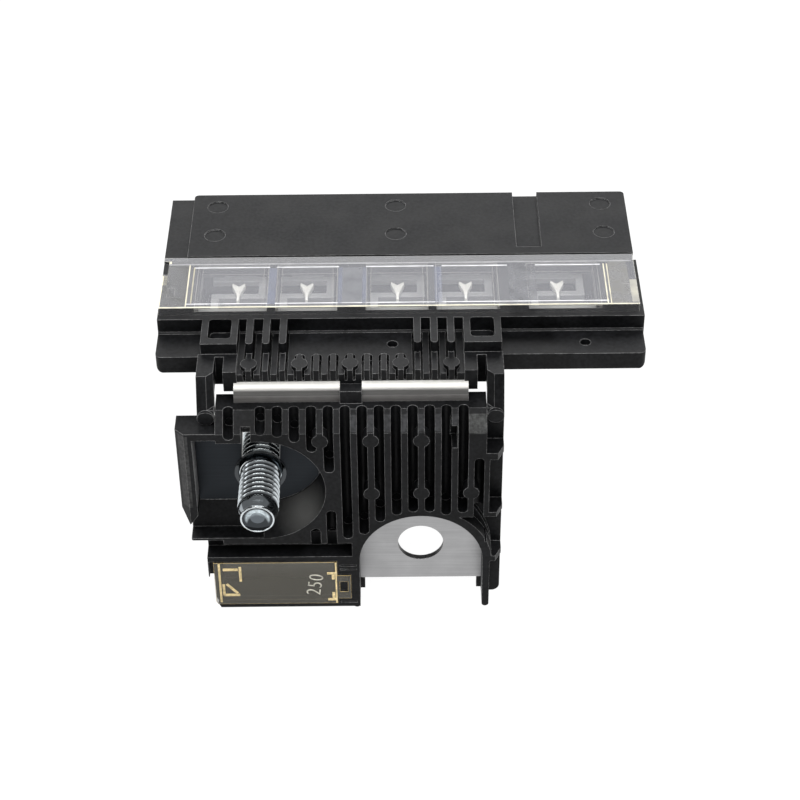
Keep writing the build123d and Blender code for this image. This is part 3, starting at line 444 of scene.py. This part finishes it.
def work_out(tree, operation, vector, second=None):
    """A vector operation: its vector for SUBTRACT and MULTIPLY, otherwise its value."""
    node = add_node(tree, "ShaderNodeVectorMath", operation=operation)
    feed(tree, node.inputs[0], vector)
    if second is not None:
        feed(tree, node.inputs[1], second)
    return node.outputs["Vector" if operation in ("SUBTRACT", "MULTIPLY") else "Value"]


def split(tree, vector):
    """The X, Y and Z of a vector."""
    node = add_node(tree, "ShaderNodeSeparateXYZ")
    tree.links.new(vector, node.inputs["Vector"])
    return node.outputs


def blend_colour(tree, factor, first, second, kind="MIX"):
    """A mix of two colours or colour sockets."""
    node = add_node(tree, "ShaderNodeMix", data_type="RGBA", blend_type=kind)
    feed(tree, node.inputs["Factor"], factor)
    for label, colour in (("A", first), ("B", second)):
        if isinstance(colour, tuple):
            colour = (*colour, 1.0)
        feed(tree, node.inputs[label], colour)
    return node.outputs["Result"]


def mix_shaders(tree, factor, first, second):
    node = add_node(tree, "ShaderNodeMixShader")
    tree.links.new(factor, node.inputs["Fac"])
    tree.links.new(first, node.inputs[1])
    tree.links.new(second, node.inputs[2])
    return node.outputs["Shader"]


# Shader groups

FLOAT = "NodeSocketFloat"
VECTOR = "NodeSocketVector"


def new_group(name, inputs, outputs):
    """An empty node group with float or vector sockets."""
    group = bpy.data.node_groups.new(name, "ShaderNodeTree")
    for label, kind, value in inputs:
        socket = group.interface.new_socket(label, in_out="INPUT", socket_type=kind)
        socket.default_value = value
    for label, kind in outputs:
        group.interface.new_socket(label, in_out="OUTPUT", socket_type=kind)
    entry = group.nodes.new("NodeGroupInput")
    leave = group.nodes.new("NodeGroupOutput")
    return group, entry.outputs, leave.inputs


def moulding_group():
    """Fine spark-eroded grain and slow flow shading of a moulded surface."""
    group, given, out = new_group(
        "moulded_grain",
        [("Vector", VECTOR, (0, 0, 0)), ("Rough Low", FLOAT, 0.4), ("Rough High", FLOAT, 0.5),
         ("Mottle", FLOAT, 1.0)],
        [("Shade", FLOAT), ("Roughness", FLOAT), ("Height", FLOAT)],
    )
    flow = noise(group, given["Vector"], 110.0, 3.0)
    speck = noise(group, given["Vector"], 1500.0)
    grain = noise(group, given["Vector"], 3800.0)
    both = product(group, spread(group, flow, 0.72, 1.28), spread(group, speck, 0.7, 1.3))
    away = product(group, calculate(group, "SUBTRACT", both, 1.0), given["Mottle"])
    feed(group, out["Shade"], calculate(group, "ADD", away, 1.0))
    feed(group, out["Roughness"], spread(group, flow, given["Rough Low"], given["Rough High"]))
    feed(group, out["Height"], grain)
    return group


def rolling_group():
    """Straight rolling lines along one axis, with faint blotches between them."""
    group, given, out = new_group(
        "rolled_sheet",
        [("Vector", VECTOR, (0, 0, 0)), ("Rough Low", FLOAT, 0.2), ("Rough High", FLOAT, 0.4)],
        [("Shade", FLOAT), ("Roughness", FLOAT), ("Height", FLOAT)],
    )
    stretch = add_node(group, "ShaderNodeMapping")
    feed(group, stretch.inputs["Vector"], given["Vector"])
    feed(group, stretch.inputs["Scale"], (60.0, 2600.0, 2600.0))
    lines = noise(group, stretch.outputs["Vector"], 1.0, 4.0, 0.6)
    blotch = noise(group, given["Vector"], 160.0, 3.0)
    shade = product(group, spread(group, blotch, 0.9, 1.05), spread(group, lines, 0.85, 1.12))
    feed(group, out["Shade"], shade)
    feed(group, out["Roughness"], spread(group, lines, given["Rough Low"], given["Rough High"]))
    feed(group, out["Height"], lines)
    return group


def edge_group():
    """Softened edges: the rounded normal, and a mask that is 1 along an edge."""
    group, given, out = new_group(
        "softened_edge", [("Radius", FLOAT, 0.2 * MM)], [("Edge", FLOAT), ("Normal", VECTOR)],
    )
    round_off = add_node(group, "ShaderNodeBevel", samples=6)
    feed(group, round_off.inputs["Radius"], given["Radius"])
    flat = add_node(group, "ShaderNodeNewGeometry")
    lean = work_out(group, "DOT_PRODUCT", round_off.outputs["Normal"], flat.outputs["Normal"])
    feed(group, out["Edge"], spread(group, lean, 1.0, 0.0, 0.9, 0.998))
    feed(group, out["Normal"], round_off.outputs["Normal"])
    return group


def span_group():
    """1 inside a box of Object coordinates, 0 outside."""
    group, given, out = new_group(
        "inside_span",
        [("Vector", VECTOR, (0, 0, 0)), ("Low", VECTOR, (0, 0, 0)), ("High", VECTOR, (1, 1, 1))],
        [("Inside", FLOAT)],
    )
    here, low, high = (split(group, given[label]) for label in ("Vector", "Low", "High"))
    inside = 1.0
    for axis in "XYZ":
        inside = product(
            group, inside, over(group, here[axis], low[axis]), under(group, here[axis], high[axis]),
        )
    feed(group, out["Inside"], inside)
    return group


GRAIN = moulding_group()
ROLLED = rolling_group()
EDGE = edge_group()
SPAN = span_group()


def inside_box(tree, place, low, high):
    """A mask that is 1 between two corners, in millimetres."""
    span = add_node(tree, "ShaderNodeGroup", node_tree=SPAN)
    feed(tree, span.inputs["Vector"], place)
    feed(tree, span.inputs["Low"], tuple(value * MM for value in low))
    feed(tree, span.inputs["High"], tuple(value * MM for value in high))
    return span.outputs["Inside"]


# Finishes

def new_material(name):
    material = bpy.data.materials.new(name)
    material.use_nodes = True
    return material, material.node_tree, material.node_tree.nodes["Principled BSDF"]


def surface(name, group, colour, rough, metal=0.0, bump=0.1, grain_depth=0.02 * MM, edge_colour=None,
            edge_radius=0.2 * MM, edge_share=1.0, patches=(), mottle=1.0):
    """A plated or moulded finish from one of the groups, with its edges and its patches.

    Each patch has its low and its high corner in millimetres, and its colour. What comes back is
    the material, its tree, its shader, Object coordinates and the mask of its edges.
    """
    material, tree, shader = new_material(name)
    place = add_node(tree, "ShaderNodeTexCoord").outputs["Object"]
    finish = add_node(tree, "ShaderNodeGroup", node_tree=group)
    feed(tree, finish.inputs["Vector"], place)
    feed(tree, finish.inputs["Rough Low"], rough[0])
    feed(tree, finish.inputs["Rough High"], rough[1])
    if "Mottle" in finish.inputs:
        feed(tree, finish.inputs["Mottle"], mottle)
    shade = finish.outputs["Shade"]
    paint = colour
    for low, high, patch_colour in patches:
        paint = blend_colour(tree, inside_box(tree, place, low, high), paint, patch_colour)
    paint = blend_colour(tree, 1.0, paint, shade, "MULTIPLY")
    edge = add_node(tree, "ShaderNodeGroup", node_tree=EDGE)
    feed(tree, edge.inputs["Radius"], edge_radius)
    # Along the edges the edge colour is painted in, unevenly with the mottle: a painted highlight where
    # it is pale, and a dark line on the tin clips
    painted_edge_share = spread(tree, shade, 0.45 * edge_share, edge_share, 0.75, 1.1)
    rim = product(tree, edge.outputs["Edge"], painted_edge_share)
    if edge_colour:
        paint = blend_colour(tree, rim, paint, edge_colour)
    feed(tree, shader.inputs["Base Color"], paint)
    feed(tree, shader.inputs["Roughness"], finish.outputs["Roughness"])
    feed(tree, shader.inputs["Metallic"], metal)
    dent = add_node(tree, "ShaderNodeBump")
    feed(tree, dent.inputs["Strength"], bump)
    feed(tree, dent.inputs["Distance"], grain_depth)
    feed(tree, dent.inputs["Height"], finish.outputs["Height"])
    feed(tree, dent.inputs["Normal"], edge.outputs["Normal"])
    feed(tree, shader.inputs["Normal"], dent.outputs["Normal"])
    return material, tree, shader, place, rim


def fed_by(shader, label):
    """The socket that a shader's input is linked to."""
    return shader.inputs[label].links[0].from_socket


def paint_over(tree, shader, mask, colour):
    """Lays a colour over what a shader has, as far as the mask says."""
    paint = blend_colour(tree, mask, fed_by(shader, "Base Color"), colour)
    feed(tree, shader.inputs["Base Color"], paint)


def moulded_black():
    """Matte black plastic with painted highlights on its edges, and a painted sheen on the pocket's
    lower right slope.
    """
    material, tree, shader, place, _ = surface(
        "black_plastic", GRAIN, (0.006, 0.0062, 0.0068), (0.34, 0.5), bump=0.45, grain_depth=0.03 * MM,
        edge_colour=(0.26, 0.26, 0.26), edge_radius=0.14 * MM, mottle=1.6,
        # What catches more light: two walls left of the pocket, then beside the right strip
        patches=(
            ((-43.6, -5.45, 15.0), (-42.6, -1.0, 32.6), (0.16, 0.16, 0.16)),
            ((-46, -5.6, 15.0), (-44.1, -2.0, 33.0), (0.03, 0.03, 0.03)),
            ((-14.0, -6, 33.6), (9.0, -3.0, 41.0), (0.024, 0.0245, 0.026)),
            ((9.0, -6, 33.0), (13.5, -3.0, 41.0), (0.045, 0.046, 0.045)),
        ),
    )
    # Painted sheen: a paler colour laid round a point on the pocket's lower right slope, inside the
    # pocket only
    away = work_out(tree, "DISTANCE", place, (-22.5 * MM, -3.0 * MM, 12.0 * MM))
    pocket = inside_box(tree, place, (-31.0, -5.42, 6.0), (-18.3, -0.2, 24.0))
    sheen = product(tree, spread(tree, away, 1.0, 0.0, 1.5 * MM, 7.0 * MM), pocket)
    paint_over(tree, shader, sheen, (0.06, 0.06, 0.058))
    feed(tree, shader.inputs["Specular IOR Level"], 0.12)
    return material


# Corners of the two bent strips and of the row of links, in millimetres
STRIPS_LOW = (-36, -0.2, 33)
STRIPS_HIGH = (10, 8, 40.2)
LINKS_LOW = (-46, 15.3, 38.5)
LINKS_HIGH = (36, 36.5, 40.1)

# The strips' tone from each height upwards, as their bend turns towards the light
STRIP_TONES = (
    (33, (0.15, 0.145, 0.14)), (38.2, (0.085, 0.083, 0.08)), (39.15, (0.26, 0.255, 0.245)),
    (39.35, (0.45, 0.44, 0.415)), (39.55, (0.62, 0.61, 0.58)),
)


def plated_sheet():
    """Plated copper: bright round the terminal hole, painted dark behind the stud for the dark pocket it
    mirrors, dull on strips and links.
    """
    left, front, _ = STRIPS_LOW
    strips = [((left, front, height), STRIPS_HIGH, tone) for height, tone in STRIP_TONES]
    material, tree, shader, place, _ = surface(
        "plated_copper", ROLLED, (0.4, 0.4, 0.405), (0.34, 0.48), metal=1.0, bump=0.25,
        edge_colour=(0.75, 0.75, 0.75), edge_radius=0.12 * MM, edge_share=0.5,
        # The plate in the pocket, painted dark for the dark pocket it mirrors; the strips, with painted
        # light and shade; the lower wall of the terminal hole, in painted shade; and the links
        patches=(
            ((-46, -2, 5), (-17.5, 0.6, 34), (0.025, 0.028, 0.032)),
            *strips,
            ((-4.7, 0.06, -4.7), (4.7, 1.14, 0.0), (0.05, 0.05, 0.05)),
            (LINKS_LOW, LINKS_HIGH, (0.38, 0.38, 0.37)),
        ),
    )
    links = inside_box(tree, place, LINKS_LOW, LINKS_HIGH)
    dull = calculate(tree, "MAXIMUM", links, inside_box(tree, place, STRIPS_LOW, STRIPS_HIGH))
    feed(tree, shader.inputs["Metallic"], spread(tree, dull, 1.0, 0.2, 0.0, 1.0))

    # Painted reflection: the pocket plate is painted bright and made glossy only in a strip that leans a
    # little, where it mirrors the thread
    here = split(tree, place)
    rise = calculate(tree, "SUBTRACT", here["Z"], STUD_Z)
    aside = calculate(tree, "SUBTRACT", here["X"], STUD_X)
    aside = calculate(tree, "SUBTRACT", aside, product(tree, rise, 0.064))
    aside = calculate(tree, "ABSOLUTE", aside)
    mirror = product(
        tree, spread(tree, aside, 1.0, 0.0, 3.45 * MM, 3.75 * MM), over(tree, rise, 0.0),
        under(tree, rise, 14.0 * MM), under(tree, here["Y"], 0.1 * MM),
    )
    paint_over(tree, shader, mirror, (0.92, 0.93, 0.92))
    rough = spread(tree, mirror, fed_by(shader, "Roughness"), 0.05, 0.0, 1.0)
    feed(tree, shader.inputs["Roughness"], rough)
    dent = fed_by(shader, "Normal").node
    feed(tree, dent.inputs["Strength"], spread(tree, mirror, 0.25, 0.02, 0.0, 1.0))
    return material


def thread_steel():
    """Bright zinc: painted shade in the thread's root and on the collar, bright on the crests."""
    material, tree, shader, place, _ = surface(
        "zinc_steel", GRAIN, (0.66, 0.71, 0.74), (0.08, 0.14), metal=1.0, bump=0.0,
        edge_colour=(0.95, 0.96, 0.95), edge_radius=0.1 * MM, mottle=0.25,
    )
    along = split(tree, place)["Y"]
    off_axis = work_out(tree, "SUBTRACT", place, (STUD_X, 0.0, STUD_Z))
    across = work_out(tree, "MULTIPLY", off_axis, (1.0, 0.0, 1.0))
    reach = work_out(tree, "LENGTH", across)
    # Painted shade nearer to the axis than the crests, all the way back to the middle of the head
    crest = spread(tree, reach, 0.0, 1.0, 3.55 * MM, 3.9 * MM)
    bright = calculate(tree, "MAXIMUM", crest, under(tree, along, -10.9 * MM))
    paint = blend_colour(tree, bright, (0.05, 0.055, 0.06), fed_by(shader, "Base Color"))

    # The dish in the end: painted shade, with a painted highlight in a pale crescent round its lower
    # middle
    away = work_out(tree, "DISTANCE", across, (0.0, 0.0, -1.5 * MM))
    crescent = product(
        tree, spread(tree, away, 0.0, 1.0, 1.9 * MM, 2.6 * MM),
        spread(tree, reach, 1.0, 0.0, 2.1 * MM, 2.5 * MM),
        spread(tree, noise(tree, place, 900.0, 3.0), 0.3, 1.0),
    )
    dish = product(tree, under(tree, along, -13.1 * MM), under(tree, reach, 2.93 * MM))
    in_dish = blend_colour(tree, crescent, (0.045, 0.05, 0.055), (0.8, 0.9, 0.95))
    paint = blend_colour(tree, dish, paint, in_dish)

    # The cone and the point behind the dish, in half shade
    cone = product(tree, under(tree, along, -11.4 * MM), over(tree, along, -13.25 * MM), 0.7)
    paint = blend_colour(tree, cone, paint, (0.16, 0.18, 0.2))

    # Painted shade on the collar, a little paler on its outer ring
    collar = product(tree, over(tree, reach, 4.1 * MM), under(tree, along, 0.05 * MM))
    ring = spread(tree, reach, 0.0, 1.0, 4.3 * MM, 4.5 * MM)
    on_collar = blend_colour(tree, ring, (0.04, 0.045, 0.05), (0.07, 0.075, 0.08))
    feed(tree, shader.inputs["Base Color"], blend_colour(tree, collar, paint, on_collar))
    return material


def hazy_resin(name, colour, rough, edge_colour, bodies, axis, face, inwards, inner_edge):
    """Clear moulded plastic with a haze on its outer face.

    The three bodies say how much the outer face, the walls behind it and an edge hide. The face
    lies across the axis, and inwards is the way from it into the wall, 1 or -1. Behind the face
    the edges fade to inner_edge.
    """
    material, tree, shader, place, rim = surface(
        name, GRAIN, colour, rough, bump=0.0, edge_colour=edge_colour, edge_radius=0.18 * MM,
        mottle=0.12,
    )
    outer_body, wall_body, edge_body = bodies
    behind = face + inwards * 0.12 * MM
    near = face + inwards * 0.03 * MM
    outer = spread(tree, split(tree, place)[axis], 0.0, 1.0, behind, near)
    hide = spread(tree, outer, wall_body, outer_body, 0.0, 1.0)
    edge = product(tree, rim, spread(tree, outer, inner_edge, 1.0, 0.0, 1.0))
    room = calculate(tree, "SUBTRACT", edge_body, hide)
    hide = calculate(tree, "ADD", hide, product(tree, room, edge))
    feed(tree, shader.inputs["Alpha"], hide)
    return material, tree, shader, place


WHITE_LINE = (0.95, 0.95, 0.97)
CREAM_LINE = (0.9, 0.84, 0.62)
CREAM_MARGIN = (0.75, 0.72, 0.6)
BLUE_SHADE = (0.3, 0.32, 0.4)

# What shows in the long cover's haze: left, front, right and back in millimetres, its colour and how
# much it hides. A later one lies over the ones before it. The white lines are painted highlights along
# edges seen in the haze, the cream ones partly the resin's own tint and partly painted highlight, and
# the blue ones painted shade beside the dividers.
HAZE_LINES = (
    (-44.2, 29.5, -29.2, 29.8, WHITE_LINE, 0.8),
    (-50.0, 30.6, 42.0, 31.0, WHITE_LINE, 0.35),
    (-27.9, 29.5, -15.6, 29.8, WHITE_LINE, 0.8),
    (-10.3, 29.5, 3.0, 29.8, WHITE_LINE, 0.8),
    (4.6, 29.5, 17.5, 29.8, WHITE_LINE, 0.8),
    (23.0, 29.5, 35.8, 29.8, WHITE_LINE, 0.8),
    (-45.0, 17.6, 36.6, 17.9, WHITE_LINE, 0.75),
    (-50.2, 16.5, 42.4, 16.85, CREAM_LINE, 0.9),
    (-50.3, 16.6, -50.0, 26.0, CREAM_LINE, 0.9),
    (-50.3, 24.0, -49.2, 27.1, CREAM_LINE, 0.75),
    (-50.3, 31.1, -48.7, 31.9, CREAM_LINE, 0.85),
    (41.1, 17.2, 42.4, 24.5, CREAM_MARGIN, 0.55),
    (-45.15, 16.9, -44.9, 30.6, CREAM_LINE, 0.75),
    (-44.2, 17.8, -43.95, 29.8, CREAM_LINE, 0.45),
    (36.3, 16.8, 36.55, 29.9, CREAM_LINE, 0.8),
    (36.95, 16.4, 37.2, 29.9, CREAM_LINE, 0.7),
    (-29.3, 17.6, -27.8, 29.4, BLUE_SHADE, 0.5),
    (-15.7, 17.6, -14.9, 29.4, BLUE_SHADE, 0.5),
    (-11.0, 17.6, -10.2, 29.4, BLUE_SHADE, 0.5),
    (-14.9, 17.9, -11.0, 29.4, (0.165, 0.17, 0.185), 0.72),
    (17.6, 17.9, 22.9, 29.4, (0.15, 0.153, 0.165), 0.7),
    (-49.9, 17.0, -45.2, 30.5, (0.17, 0.17, 0.166), 0.55),
    (37.3, 17.0, 41.0, 30.5, (0.27, 0.265, 0.25), 0.6),
    (-48.6, 31.1, 42.4, 33.1, (0.32, 0.32, 0.325), 0.5),
    (3.1, 17.6, 4.5, 29.4, BLUE_SHADE, 0.5),
)

# Just below and just above that cover's top face, in millimetres
HAZE_LOW = 46.7
HAZE_HIGH = 46.9


def clear_resin():
    """The long cover's resin, with the edges, dividers and margins that show in its haze."""
    material, tree, shader, place = hazy_resin(
        "clear_plastic", (0.5, 0.505, 0.54), (0.16, 0.24), (0.95, 0.92, 0.8), (0.29, 0.03, 0.95),
        "Z", BANK_TOP, -1, 0.6,
    )
    smear = spread(tree, noise(tree, place, 300.0), 0.55, 1.0)
    hide = fed_by(shader, "Alpha")
    for left, front, right, back, colour, body in HAZE_LINES:
        box = inside_box(tree, place, (left, front, HAZE_LOW), (right, back, HAZE_HIGH))
        inside = product(tree, box, smear)
        paint_over(tree, shader, inside, colour)
        hide = spread(tree, inside, hide, body, 0.0, 1.0)
    feed(tree, shader.inputs["Alpha"], hide)
    feed(tree, shader.inputs["Specular IOR Level"], 0.2)
    return material


black_plastic = moulded_black()
plated_copper = plated_sheet()
zinc_steel = thread_steel()
bright_tin = surface(
    "bright_tin", GRAIN, (1.0, 0.98, 0.9), (0.16, 0.24), bump=0.0, mottle=0.15,
    edge_colour=(0.12, 0.1, 0.07), edge_radius=0.12 * MM,
)[0]
clear_plastic = clear_resin()
amber_plastic = hazy_resin(
    "amber_plastic", (0.12, 0.112, 0.09), (0.1, 0.18), (0.9, 0.66, 0.26), (0.6, 0.1, 0.9),
    "Y", AMBER_FRONT, 1, 0.5,
)[0]
amber_edge = surface(
    "amber_edge", GRAIN, (0.74, 0.58, 0.29), (0.12, 0.2), bump=0.0,
    edge_colour=(0.95, 0.85, 0.55), edge_radius=0.1 * MM,
)[0]
pale_print = surface("pale_print", GRAIN, (0.6, 0.58, 0.5), (0.3, 0.4), bump=0.0)[0]


def coat(piece, material):
    """Gives a piece its one material."""
    piece.data.materials.clear()
    piece.data.materials.append(material)


finishes = {
    "bus_bar": plated_copper,
    "terminal_housing": black_plastic,
    "fuse_block_housing": black_plastic,
    "fuse_bank_cover": clear_plastic,
    "fuse_bank_base": black_plastic,
    "main_link_cover": amber_plastic,
    "main_link_back_cover": black_plastic,
}
for number in range(1, 6):
    finishes[f"link_tin_{number}"] = bright_tin
for name, material in finishes.items():
    coat(nodes[name], material)
new_pieces = [(stud, zinc_steel, "zinc_steel"), (amber_marks, amber_edge, "amber_plastic"),
              (rating, pale_print, "amber_plastic")]
new_pieces += [(clip, bright_tin, "tin") for clip in clips]
for piece, material, slot_name in new_pieces:
    coat(piece, material)


# Floor, light and camera, with the camera where the photograph was taken from
AIM = Vector((-3.86, 5.27, 32.64)) * MM
DISTANCE = 399.2 * MM
LOOK_DOWN = math.radians(39.3)
LEAN = math.radians(0.55)
FOCAL_PIXELS = 2075.0
PHOTO_SIDE = 800.0
WHITE = (1.0, 1.0, 1.0, 1.0)


def white_floor():
    """White paper that keeps the object's shadow, and is open when it is seen from below."""
    low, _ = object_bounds()
    deselect()
    bpy.ops.mesh.primitive_plane_add(size=4.0, location=(0.0, 0.0, low.z))
    floor = bpy.context.object
    floor.name = "floor"
    material, tree, paper = new_material("white_floor")
    feed(tree, paper.inputs["Base Color"], (0.7, 0.7, 0.7, 1.0))
    feed(tree, paper.inputs["Roughness"], 0.9)
    feed(tree, paper.inputs["Specular IOR Level"], 0.0)
    glow = add_node(tree, "ShaderNodeEmission")
    feed(tree, glow.inputs["Color"], WHITE)
    feed(tree, glow.inputs["Strength"], 1.08)
    rays = add_node(tree, "ShaderNodeLightPath").outputs
    seen = calculate(tree, "MAXIMUM", rays["Is Camera Ray"], rays["Is Transmission Ray"])
    seen = product(tree, calculate(tree, "MAXIMUM", seen, rays["Is Glossy Ray"]), 0.9)
    closed = mix_shaders(tree, seen, paper.outputs["BSDF"], glow.outputs["Emission"])
    below = add_node(tree, "ShaderNodeNewGeometry").outputs["Backfacing"]
    window = add_node(tree, "ShaderNodeBsdfTransparent").outputs["BSDF"]
    tree.links.new(
        mix_shaders(tree, below, closed, window), tree.nodes["Material Output"].inputs["Surface"],
    )
    floor.data.materials.append(material)
    floor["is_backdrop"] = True


def white_room():
    """Even light on the object, and a pale backdrop beyond the edge of the floor."""
    world = bpy.data.worlds.new("studio")
    bpy.context.scene.world = world
    world.use_nodes = True
    tree = world.node_tree
    sky = tree.nodes["Background"]
    feed(tree, sky.inputs["Color"], WHITE)
    feed(tree, sky.inputs["Strength"], 0.3)
    backdrop = add_node(tree, "ShaderNodeBackground")
    feed(tree, backdrop.inputs["Strength"], 1.0)
    seen = add_node(tree, "ShaderNodeLightPath").outputs["Is Camera Ray"]
    both = mix_shaders(tree, seen, sky.outputs["Background"], backdrop.outputs["Background"])
    tree.links.new(both, tree.nodes["World Output"].inputs["Surface"])


def softbox(name, place, width, depth, watts):
    """An area lamp that looks at the middle of the object."""
    deselect()
    bpy.ops.object.light_add(type="AREA", location=place)
    lamp = bpy.context.object
    lamp.name = name
    lamp.data.shape = "RECTANGLE"
    lamp.data.size = width
    lamp.data.size_y = depth
    lamp.data.energy = watts
    lamp.rotation_euler = (AIM - Vector(place)).to_track_quat("-Z", "Y").to_euler()


def photo_camera():
    """A camera that looks at the object as the photograph does."""
    lens = bpy.data.cameras.new("camera")
    camera = bpy.data.objects.new("camera", lens)
    bpy.context.scene.collection.objects.link(camera)
    toward = Vector((0.0, math.cos(LOOK_DOWN), -math.sin(LOOK_DOWN)))
    camera.location = AIM - toward * DISTANCE
    turn = Matrix.Rotation(math.pi / 2 - LOOK_DOWN, 3, "X") @ Matrix.Rotation(-LEAN, 3, "Z")
    camera.rotation_euler = turn.to_euler()
    lens.sensor_width = 36.0
    lens.lens = FOCAL_PIXELS / PHOTO_SIDE * lens.sensor_width
    lens.clip_start = 0.01
    lens.clip_end = 20.0
    bpy.context.scene.camera = camera


white_floor()
white_room()
softbox("back_box", (0.0, 0.55, 0.5), 0.9, 0.45, 4.2)
softbox("top_box", (0.0, -0.2, 0.75), 0.8, 0.7, 8.0)
softbox("left_box", (-0.55, -0.25, 0.35), 0.3, 0.4, 0.6)
softbox("right_box", (0.55, -0.15, 0.35), 0.3, 0.4, 0.6)
photo_camera()
bpy.context.scene.view_settings.view_transform = "Standard"
